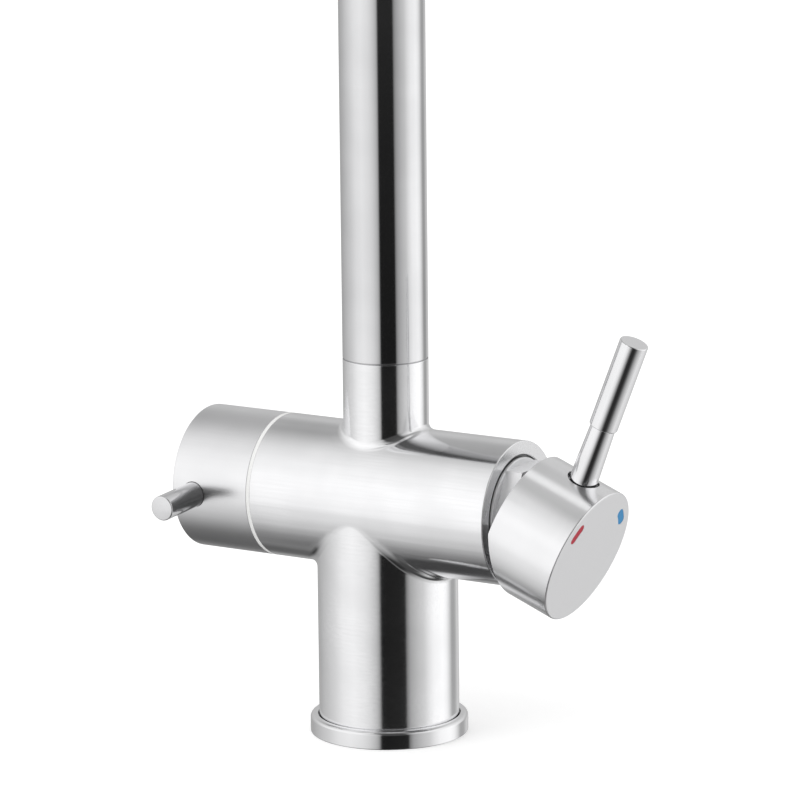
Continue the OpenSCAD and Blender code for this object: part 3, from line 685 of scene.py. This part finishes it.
def makeSpoutTube():
    s = spoutSetup
    bm = bmesh.new()
    ring = bmesh.ops.create_circle(bm, segments=s["around"], radius=(s["radius"] - s["edge"]) * mm)
    bmesh.ops.translate(bm, vec=(0, 0, s["foot"] * mm), verts=ring["verts"])
    edges = list({edge for vert in ring["verts"] for edge in vert.link_edges})

    def further(edges, move, grow=1.0):
        made = bmesh.ops.extrude_edge_only(bm, edges=edges)["geom"]
        verts = [item for item in made if isinstance(item, bmesh.types.BMVert)]
        bmesh.ops.translate(bm, vec=Vector(move) * mm, verts=verts)
        bmesh.ops.scale(bm, vec=(grow, grow, 1), verts=verts)
        return verts, [item for item in made if isinstance(item, bmesh.types.BMEdge)]

    steps = s["edgeSteps"]
    for i in range(1, steps + 1):     # broken edge of the foot
        before, after = (s["radius"] - s["edge"] * (1 - sin(pi / 2 * j / steps)) for j in (i - 1, i))
        rise = s["edge"] * (cos(pi / 2 * (i - 1) / steps) - cos(pi / 2 * i / steps))
        verts, edges = further(edges, (0, 0, rise), after / before)
    bendStart = s["armUp"] - s["bend"]
    verts, edges = further(edges, (0, 0, s["besideEdge"]))
    verts, edges = further(edges, (0, 0, bendStart - s["foot"] - s["edge"] - s["besideEdge"]))
    bent = bmesh.ops.spin(bm, geom=verts + edges, cent=(0, -s["bend"] * mm, bendStart * mm), axis=(1, 0, 0),
                          angle=pi / 2, steps=s["bendSteps"], use_duplicate=False)["geom_last"]
    edges = [item for item in bent if isinstance(item, bmesh.types.BMEdge)]
    further(edges, (0, s["bend"] - s["armEnd"], 0))
    bmesh.ops.remove_doubles(bm, verts=bm.verts, dist=weld)
    bmesh.ops.recalc_face_normals(bm, faces=bm.faces)
    tube = asObject(bm, "spoutTube")
    wall = tube.modifiers.new("wall", "SOLIDIFY")
    wall.thickness = s["wall"] * mm
    wall.offset = -1
    wall.use_even_offset = True
    down = upright(0, -s["reach"], 0)
    below = s["armUp"] - s["radius"] - past
    carve(tube, [rod(collarSetup["radius"] + snug, below, s["armUp"], down, steps=128)])
    finish(tube, steel("spoutSteel", {**polished, "lines": "spout"}), "spout", ["spout_tube"], sharp=35)


collarSetup = {
    "radius": 12.0,
    "wall": 1.5,
    "foot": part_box("outlet_collar")[0].z / mm,
    "top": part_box("outlet_collar")[1].z / mm,
    "seat": 9.0,        # above the foot
    "seatWidth": 2.0,
    "edge": 0.5,
}
endSetup = {
    "thick": 2.0,
    "round": 0.8,
    "plug": 12.75,
    "lip": 1.5,
    "backEdge": 0.15,
}
aeratorSetup = {
    "foot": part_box("aerator_shell")[0].z / mm,
    "height": 7.0,
    "radius": 10.45,
    "bore": 9.1,
    "lip": 8.6,
    "lipHeight": 0.6,
    "lipEdge": 0.15,
    "core": 9.05,
    "coreTop": 5.0,
    "nozzle": 3.0,
    "jets": 12,
    "jet": 0.9,
    "jetRing": 6.1,
    "jetSides": 24,
}


def makeOutlet():
    s, e, c, a = spoutSetup, endSetup, collarSetup, aeratorSetup
    endPlace = upright(0, -s["armEnd"], s["armUp"]) @ Matrix.Rotation(pi / 2, 4, "X")
    cap = spun("spoutEndCap", [
        (0, -e["lip"]), (e["plug"], -e["lip"], wideEdge), (e["plug"], 0), (s["radius"], 0, e["backEdge"]),
        (s["radius"], e["thick"], e["round"]), (0, e["thick"])], endPlace, steps=160, rounding=6)
    endSteel = {**satin, "roughness": 0.34, "metal": 0.8}
    finish(cap, steel("endSteel", endSteel, endPlace), "spout", ["spout_end_cap"])
    down = upright(0, -s["reach"], 0)
    bore, seat = c["radius"] - c["wall"], c["foot"] + c["seat"]
    collar = spun("outletCollar", [
        (bore, c["foot"], wideEdge), (c["radius"], c["foot"], c["edge"]), (c["radius"], c["top"], fineEdge),
        (bore - c["seatWidth"], c["top"]), (bore - c["seatWidth"], seat), (bore, seat)], down)
    finish(collar, steel("collarSteel", polished, down), "spout", ["outlet_collar"])
    foot, top = a["foot"], a["foot"] + a["height"]
    shellRing = spun("aeratorShell", [
        (a["lip"], foot, a["lipEdge"]), (a["radius"], foot, wideEdge), (a["radius"], top, fineEdge),
        (a["bore"], top), (a["bore"], foot + a["lipHeight"]), (a["lip"], foot + a["lipHeight"])],
        down, steps=96)
    finish(shellRing, steel("aeratorSteel", polished, down), "spout", ["aerator_shell"])
    low, high, middle = foot + a["lipHeight"], foot + a["coreTop"], a["nozzle"] + snug
    core = spun("aeratorInsert", [
        (middle, low, fineEdge), (a["core"], low, fineEdge), (a["core"], high, fineEdge), (middle, high)],
        down, steps=96)
    holes, sides = [], a["jetSides"]
    halfSide = Matrix.Rotation(pi / sides, 4, "Z")     # so that no edges fall together
    for i in range(a["jets"]):
        place = down @ Matrix.Rotation(2 * pi * i / a["jets"], 4, "Z") @ upright(a["jetRing"])
        holes.append(rod(a["jet"], foot, top, place @ halfSide, steps=sides))
    carve(core, holes)
    finish(core, cadFinishes["white_plastic"], "spout", ["aerator_insert"])


makeSpoutTube()
makeOutlet()
print("spout made")


# Filter control: white ring, knob and pin

pinSetup = {
    "radius": 4.15,
    "tip": 42.2,
    "foot": 9.1,
    "edge": 0.4,
    "shank": 2.5,
    "shankFoot": 4.1,
    "droop": 3,
}
pinX = joints["filter_turn"]["pos_m"][0] / mm
pinPlace = upright(pinX, 0, barrelZ) @ Matrix.Rotation(radians(90 + pinSetup["droop"]), 4, "X")
knobSetup = {
    "left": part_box("filter_knob")[0].x / mm,
    "right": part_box("filter_knob")[1].x / mm,
    "edge": 0.6,
    "rightEdge": 0.1,
    "boreEdge": 0.25,
    "wall": 3.0,
    "floor": 4.0,
    "hub": 9.0,
    "hubBack": 12.0,
    "spindle": 4.05,
    "spindleDepth": 4.8,
    "shankHole": 15,
    "pinGap": 0.15,
}
washerSetup = {
    "guide": 20.65,
    "guideEnd": 6.0,
    "bore": 14.36,
    "seat": 19.1,
    "seatEnd": -34.4,
    "gap": 0.1,
}


def makeFilterControl():
    k, w, p = knobSetup, washerSetup, pinSetup
    ring = spun("frictionWasher", [
        (w["bore"], k["right"] - w["guideEnd"]), (w["guide"], k["right"] - w["guideEnd"], wideEdge),
        (w["guide"], k["right"] + w["gap"]), (barrelRadius, k["right"] + w["gap"]),
        (barrelRadius, barrelLeft), (w["seat"], barrelLeft), (w["seat"], w["seatEnd"], wideEdge),
        (w["bore"], w["seatEnd"])], along(), steps=192)
    finish(ring, cadFinishes["white_plastic"], "tap_body", ["friction_washer"])
    floor, bore, hubEnd = k["left"] + k["floor"], barrelRadius - k["wall"], k["right"] - k["hubBack"]
    knob = spun("filterKnob", [
        (0, k["left"]), (barrelRadius, k["left"], k["edge"]), (barrelRadius, k["right"], k["rightEdge"]),
        (bore, k["right"], k["boreEdge"]), (bore, floor), (k["hub"], floor), (k["hub"], hubEnd, wideEdge),
        (k["spindle"], hubEnd), (k["spindle"], k["left"] + k["spindleDepth"]),
        (0, k["left"] + k["spindleDepth"])], along(), steps=192, rounding=5)
    carve(knob, [
        rod(p["shank"] + snug, 0, k["shankHole"], pinPlace, steps=48),
        rod(p["radius"] + k["pinGap"], k["hub"] + past, barrelRadius + past, pinPlace, steps=72)])
    knobSteel = {**brushed, "roughness": 0.3, "streak": 0.3, "relief": 0.003}
    knobSteel = steel("knobSteel", knobSteel, upright(0, 0, barrelZ))
    finish(knob, knobSteel, "filter_control", ["filter_knob"], sharp=30)
    pin = spun("filterLever", [
        (0, p["shankFoot"]), (p["shank"], p["shankFoot"], fineEdge), (p["shank"], p["foot"]),
        (p["radius"], p["foot"], fineEdge), (p["radius"], p["tip"], p["edge"]), (0, p["tip"])],
        pinPlace, steps=96)
    pinSteel = {**polished, "dark": (0.78, 0.78, 0.79), "light": (0.84, 0.84, 0.85)}
    finish(pin, steel("pinSteel", pinSteel, pinPlace), "filter_control", ["filter_lever"])


makeFilterControl()
print("filter control made")


# Mixer: nut, cap, lever and marks

nutSetup = {
    "corners": 37.0,
    "stand": 7.1,
    "edge": 0.2,
    "chamferStart": 15.86,      # radius of the flat face that the chamfer leaves
    "chamferFall": 0.7,
    "hole": 11.55,
    "flare": 0.3,
    "thread": 19.1,
    "threadFoot": 41.0,
    "collar": 18.35,
    "collarStand": 0.8,
    "collarEdge": 0.5,
    "grooveDeep": 1.0,
    "skirtBore": 17.55,
    "roof": 47.0,
    "around": 128,
    "paintedShade": 0.3,      # painted shade: the steel is darkened below this depth in the barrel's end
}


def makeNut():
    s = nutSetup
    corner, end, around = s["corners"] / 2, barrelRight + s["stand"], s["around"]
    height = s["stand"] + past
    bm = bmesh.new()
    bmesh.ops.create_cone(bm, cap_ends=True, segments=6, radius1=corner * mm, radius2=corner * mm,
                          depth=height * mm, matrix=along(barrelRight + height / 2))
    ridges = [edge for edge in bm.edges if abs(edge.verts[0].co.x - edge.verts[1].co.x) > mm]
    bmesh.ops.bevel(bm, geom=ridges, offset=s["edge"] * mm, segments=3, profile=0.5, affect="EDGES",
                    material=-1)
    nut = asObject(bm, "cartridgeNut")
    outer = corner + past
    dome = spun("cutter", [
        (0, barrelRight - past), (outer, barrelRight - past), (outer, end - s["chamferFall"]),
        (s["chamferStart"], end), (0, end)], along(), steps=192)
    carve(nut, [dome], "INTERSECT")
    groove, collarEnd = barrelRight - s["grooveDeep"], barrelRight + s["collarStand"]
    thread = spun("cutter", [
        (0, s["threadFoot"]), (s["thread"], s["threadFoot"], wideEdge), (s["thread"], groove),
        (s["collar"], groove), (s["collar"], collarEnd, s["collarEdge"]), (0, collarEnd)], along(), around)
    carve(nut, [thread], "UNION")
    between = along() @ Matrix.Rotation(pi / around, 4, "Z")     # half a step on: no edges fall together
    foot = s["threadFoot"] - past
    carve(nut, [
        rod(s["skirtBore"], foot, s["roof"], between, around),
        rod(s["hole"], foot, end, between, around, highFlare=s["flare"])])
    # painted shade: the nut's steel is dark grey where it sits inside the barrel's end
    paintedShade = (barrelRight - s["paintedShade"], barrelRight)
    nutSteel = steel("nutSteel", {**blasted, "roughness": 0.4, "metal": 0.65}, along(), paintedShade=paintedShade)
    finish(nut, nutSteel, "tap_body", ["cartridge_nut"], sharp=25)


capShape = {
    "tilt": 21.7,
    "radius": 22.95,
    "wall": 2.0,
    "rim": 5.1,
    "face": 30.5,
    "ceiling": 26.1,
    "edge": 0.5,
    "ceilingEdge": 0.5,
    "hub": 8.0,
    "hubFoot": 16.0,
    "gap": 1.9,         # between the barrel's end and the rim's lower part
    "socket": 8.1,
    "socketTop": 24.3,
    "lever": 19.9,      # the lever's place on the cap's axis
    "leverHole": 5.4,
    "leverHoleFoot": 9.0,
    "shankHole": 12,
    "blastedFace": (-0.5, -0.1),    # from the face's own level
}
capPlace = upright(pivotX, 0, barrelZ) @ Matrix.Rotation(radians(90 + capShape["tilt"]), 4, "Y")
leverPlace = capPlace @ upright(0, 0, capShape["lever"]) @ Matrix.Rotation(-pi / 2, 4, "Y")
markSetup = {
    "middle": 18.3,
    "width": 3.1,
    "length": 7.3,
    "deep": 0.6,
    "swing": 51,        # degrees to each side of the lever
    "sink": 0.06,
    "steps": 3,
    "round": 0.98,      # share of half the width that each corner's rounding takes
    "roundSteps": 6,
}


def markSolid(side, ease, low, high):
    # A short curved bar with round ends, on the cap's face
    s = markSetup
    half, sweep = s["width"] / 2 - ease, (s["length"] - 2 * ease) / s["middle"]
    bm = bmesh.new()
    ends = [bm.verts.new(((s["middle"] + r) * mm, 0, low * mm)) for r in (-half, half)]
    line = bm.edges.new(ends)
    bmesh.ops.spin(bm, geom=ends + [line], cent=(0, 0, 0), axis=(0, 0, 1), angle=sweep, steps=s["steps"])
    bmesh.ops.remove_doubles(bm, verts=bm.verts, dist=weld)
    bmesh.ops.dissolve_faces(bm, faces=bm.faces[:], use_verts=False)
    roundCorners(bm, [vert for vert in bm.verts if isCorner(vert)], half * s["round"], s["roundSteps"])
    risen = bmesh.ops.extrude_face_region(bm, geom=bm.faces[:])["geom"]
    top = [item for item in risen if isinstance(item, bmesh.types.BMVert)]
    bmesh.ops.translate(bm, vec=(0, 0, (high - low) * mm), verts=top)
    bmesh.ops.recalc_face_normals(bm, faces=bm.faces)
    turn = Matrix.Rotation(pi + side * radians(s["swing"]) - sweep / 2, 4, "Z")
    bmesh.ops.transform(bm, matrix=capPlace @ turn, verts=bm.verts)
    return bm


def isCorner(vert):
    first, second = (edge.other_vert(vert).co - vert.co for edge in vert.link_edges)
    return first.angle(second) < radians(120)


def makeCap():
    s, m = capShape, markSetup
    bore = s["radius"] - s["wall"]
    cap = spun("handleCap", [
        (0, s["face"]), (s["radius"], s["face"], s["edge"]), (s["radius"], s["rim"], fineEdge),
        (bore, s["rim"], fineEdge), (bore, s["ceiling"], s["ceilingEdge"]), (s["hub"], s["ceiling"]),
        (s["hub"], s["hubFoot"], fineEdge), (0, s["hubFoot"])], capPlace, steps=192, rounding=6)
    rimPlane = barrelRight + s["gap"]     # the lower rim stands parallel to the barrel's end
    cutters = [
        block([2 * rimPlane] * 3, upright(0, 0, barrelZ)),
        block((s["socket"], s["socket"], 2 * s["socketTop"]), capPlace),
        rod(leverSetup["shank"] + snug, 0, s["shankHole"], leverPlace, steps=48),
        rod(s["leverHole"], s["leverHoleFoot"], s["radius"] + past, leverPlace, steps=96),
    ]
    pocketFoot = s["face"] - m["deep"]
    for side in (1, -1):
        cutters.append(asObject(markSolid(side, 0, pocketFoot, s["face"] + past), "cutter"))
    carve(cap, cutters)
    face = {"levels": [s["face"] + level for level in s["blastedFace"]], "rougher": 0.22, "calmer": 0.75}
    capSteel = {**blasted, "roughness": 0.17, "dark": (0.92, 0.92, 0.93), "relief": 0.0002, "metal": 0.93}
    finish(cap, steel("capSteel", capSteel, capPlace, face), "mixer_handle", ["handle_cap"], sharp=30)
    for side, name, node in ((1, "hotMark", "hot_mark"), (-1, "coldMark", "cold_mark")):
        mark = asObject(markSolid(side, snug, pocketFoot, s["face"] - m["sink"]), name)
        finish(mark, cadFinishes[slots[node]], "mixer_handle", [node])


leverSetup = {
    "shankFoot": 4.1,
    "shoulder": 8.1,
    "shank": 2.5,
    "root": 4.65,
    "rootEnd": 22.95,
    "neck": 4.1,
    "neckEdge": 0.1,
    "gripStart": 42.2,
    "tenon": 18.0,
    "tenonGap": 0.2,
    "grip": 4.7,
    "gripEnd": 72.69,
    "edge": 0.4,
}


def makeLever():
    s = leverSetup
    tenonEnd = s["gripStart"] + s["tenon"]
    stem = spun("leverStem", [
        (0, s["shankFoot"]), (s["shank"], s["shankFoot"], fineEdge), (s["shank"], s["shoulder"]),
        (s["root"], s["shoulder"], fineEdge), (s["root"], s["rootEnd"]),
        (s["neck"], s["gripStart"], s["neckEdge"]), (s["shank"], s["gripStart"]),
        (s["shank"], tenonEnd, wideEdge), (0, tenonEnd)], leverPlace, steps=96)
    finish(stem, steel("stemSteel", bright, leverPlace), "mixer_handle", ["lever_stem"])
    bore, boreEnd = s["shank"] + snug, tenonEnd + s["tenonGap"]
    grip = spun("leverGrip", [
        (0, boreEnd), (bore, boreEnd), (bore, s["gripStart"]), (s["grip"], s["gripStart"], s["edge"]),
        (s["grip"], s["gripEnd"], s["edge"]), (0, s["gripEnd"])], leverPlace, steps=96, rounding=5)
    finish(grip, steel("gripSteel", bright, leverPlace), "mixer_handle", ["lever_grip"])


makeNut()
makeCap()
makeLever()
print("mixer handle made")


# Studio: a white surround, with the dark and grey bands that show in the steel

studio = {
    # For each height above the horizon: brightness by the direction round from the camera. The levels come
    # from the photo's own brightness, measured by the direction that its steel mirrors, and were then adjusted.
    "bands": [
        (-80, [(0, 0.06), (180, 1)]),
        (-60.5, [(-180, 0.1), (-125, 0.06), (-90, 0.12), (-60, 0.12), (-30, 0.06), (180, 0.06)]),
        (-57.5, [(-180, 0.1), (-150, 0.18), (-125, 0.22), (-93, 0.25), (-70, 0.27), (-30, 0.06),
                 (180, 0.06)]),
        (-49.5, [(-180, 0.16), (-150, 0.1), (-124, 0.13), (-108, 0.3), (-90, 0.41), (-75, 0.42),
                 (-50, 0.36), (-30, 0.16), (-15, 0.06), (30, 0.05), (90, 0.1), (130, 0.15),
                 (180, 0.14)]),
        (-44, [(-180, 0.2), (-160, 0.1), (-139, 0.04), (-124, 0.07), (-108, 0.35), (-90, 0.55),
               (-75, 0.58), (-50, 0.45), (-30, 0.2), (-15, 0.05), (5, 0.03), (20, 0.08), (36, 0.3),
               (60, 0.57), (90, 0.8), (110, 0.68), (126, 0.48), (155, 0.42), (180, 0.2)]),
        (-29, [(-180, 0.35), (-155, 0.35), (-135, 0.3), (-110, 0.5), (-90, 0.68), (-70, 0.76),
               (-50, 0.66), (-35, 0.4), (-20, 0.11), (-12, 0.02), (10, 0.02), (24, 0.13), (40, 0.4),
               (60, 0.62), (90, 0.9), (112, 0.86), (132, 0.68), (150, 0.6), (180, 0.35)]),
        (-23, [(-180, 0.37), (-155, 0.37), (-135, 0.36), (-110, 0.54), (-90, 0.72), (-70, 0.81),
               (-50, 0.73), (-35, 0.52), (-20, 0.26), (-12, 0.15), (10, 0.15), (24, 0.22), (40, 0.41),
               (60, 0.63), (90, 0.95), (112, 0.88), (132, 0.6), (150, 0.6), (180, 0.37)]),
        (-17.5, [(-180, 0.41), (-150, 0.41), (-120, 0.56), (-100, 0.69), (-80, 0.86), (-60, 0.91),
                 (-40, 0.8), (-30, 0.68), (-20, 0.5), (-14.7, 0.33), (-11.7, 0.01), (28, 0.02),
                 (30, 0.21), (36, 0.39), (50, 0.56), (60, 0.65), (70, 0.84), (80, 0.99), (100, 1.07),
                 (110, 0.98), (118, 0.75), (127, 0.42), (138, 0.42), (153, 0.64), (165, 0.57),
                 (180, 0.41)]),
        (-12, [(-180, 0.42), (-150, 0.43), (-120, 0.6), (-100, 0.72), (-80, 0.9), (-60, 0.97),
               (-40, 0.88), (-30, 0.78), (-20, 0.6), (-14.7, 0.4), (-11.7, 0.01), (28, 0.01), (30, 0.2),
               (36, 0.4), (50, 0.57), (60, 0.66), (70, 0.88), (80, 1.04), (100, 1.12), (110, 1),
               (118, 0.74), (127, 0.36), (138, 0.36), (153, 0.66), (165, 0.6), (180, 0.42)]),
        (2, [(-180, 0.5), (-150, 0.52), (-130, 0.6), (-115, 0.8), (-100, 1), (-60, 1.03), (-40, 0.9),
             (-25, 0.7), (-14, 0.5), (-10, 0.06), (26, 0.06), (32, 0.3), (50, 0.6), (70, 0.9),
             (100, 1.1), (130, 0.7), (145, 0.5), (180, 0.5)]),
        (20, [(-180, 0.55), (-150, 0.58), (-110, 0.85), (-80, 1.06), (-45, 1.04), (-22, 0.6),
              (-12, 0.06), (24, 0.06), (36, 0.6), (70, 0.98), (110, 0.9), (150, 0.66), (180, 0.55)]),
        (38, [(-180, 0.43), (-168, 0.4), (-140, 0.5), (-110, 0.75), (-75, 0.98), (-42, 0.94),
              (-24, 0.5), (-12, 0.07), (24, 0.07), (38, 0.5), (60, 0.9), (120, 0.8), (160, 0.6),
              (180, 0.43)]),
        (56, [(-180, 0.38), (-155, 0.36), (-136, 0.5), (-119, 0.64), (-99, 0.78), (-80, 0.88),
              (-68, 0.7), (-57, 0.5), (-46, 0.8), (-38, 0.85), (-24, 0.2), (-12, 0.08), (24, 0.08),
              (38, 0.22), (60, 0.33), (80, 0.38), (120, 0.42), (150, 0.52), (168, 0.46), (180, 0.38)]),
        (68, [(-180, 0.44), (-155, 0.43), (-136, 0.5), (-119, 0.57), (-99, 0.64), (-80, 0.69),
              (-57, 0.58), (-38, 0.72), (-24, 0.2), (-12, 0.08), (24, 0.08), (38, 0.35), (60, 0.41),
              (120, 0.44), (150, 0.52), (180, 0.44)]),
        (80, [(0, 0.49), (180, 1)]),
    ],
    "plainLight": 0.9,
}


def makeWorld(setup):
    world = bpy.data.worlds.new("studio")
    bpy.context.scene.world = world
    world.use_nodes = True
    graph = Graph(world.node_tree)
    direction = graph.node("ShaderNodeTexCoord", None, None, "Generated")
    x, y, z = graph.parts(direction)
    around = radians(cameraSetup["around"])
    front = x * sin(around) - y * cos(around)
    right = x * cos(around) + y * sin(around)
    turn = right.maths("ARCTAN2", front) / (2 * pi) + 0.5
    height = z.maths("ARCSINE") * (180 / pi)
    bands = [(above, turn.ramp([((angle + 180) / 360, level) for angle, level in stops]))
             for above, stops in setup["bands"]]
    below, light = bands[0]
    for above, band in bands[1:]:
        light = graph.blend(height.step(below, above), light, band)
        below = above
    plain = graph.blend(graph.lightPath("Is Camera Ray"), setup["plainLight"], 1)
    seen = graph.blend(graph.lightPath("Is Glossy Ray"), plain, light)
    background = graph.node("ShaderNodeBackground", None, {0: seen, 1: 1.0})
    graph.node("ShaderNodeOutputWorld", None, {0: background})


floorSetup = {
    "half": 6000,
    "tones": (0.85, 0.86),
    "lift": 0.32,       # what the camera sees on top of the light that the floor gets, so that it stays white
}


def makeFloor(setup):
    bm = bmesh.new()
    bmesh.ops.create_grid(bm, x_segments=1, y_segments=1, size=setup["half"] * mm)
    floor = asObject(bm, "floor")

    def build(graph):
        paint = graph.noise(graph.local(Matrix.Identity(4)), 0.01)
        matte = graph.node("ShaderNodeBsdfDiffuse", None, {0: graph.blend(paint, *setup["tones"])})
        lift = graph.node("ShaderNodeEmission", None, {1: setup["lift"]})
        both = graph.node("ShaderNodeAddShader", None, {0: matte, 1: lift})
        inputs = {0: graph.lightPath("Is Camera Ray"), 1: matte, 2: both}
        return graph.node("ShaderNodeMixShader", None, inputs)
    floor.data.materials.append(asMaterial("floor", build))
    floor.visible_glossy = False


lampSetup = {
    "place": (-500, -900, 1300),
    "size": 900,
    "power": 6.0,
}


def makeLamp(setup):
    data = bpy.data.lights.new("softLamp", "AREA")
    data.size = setup["size"] * mm
    data.energy = setup["power"]
    lamp = bpy.data.objects.new("softLamp", data)
    lamp.location = Vector(setup["place"]) * mm
    lamp.rotation_euler = (-lamp.location).to_track_quat("-Z", "Y").to_euler()
    lamp.visible_glossy = False
    bpy.context.scene.collection.objects.link(lamp)


makeWorld(studio)
makeFloor(floorSetup)
makeLamp(lampSetup)
bpy.context.scene.view_settings.view_transform = "Standard"
print("studio made")
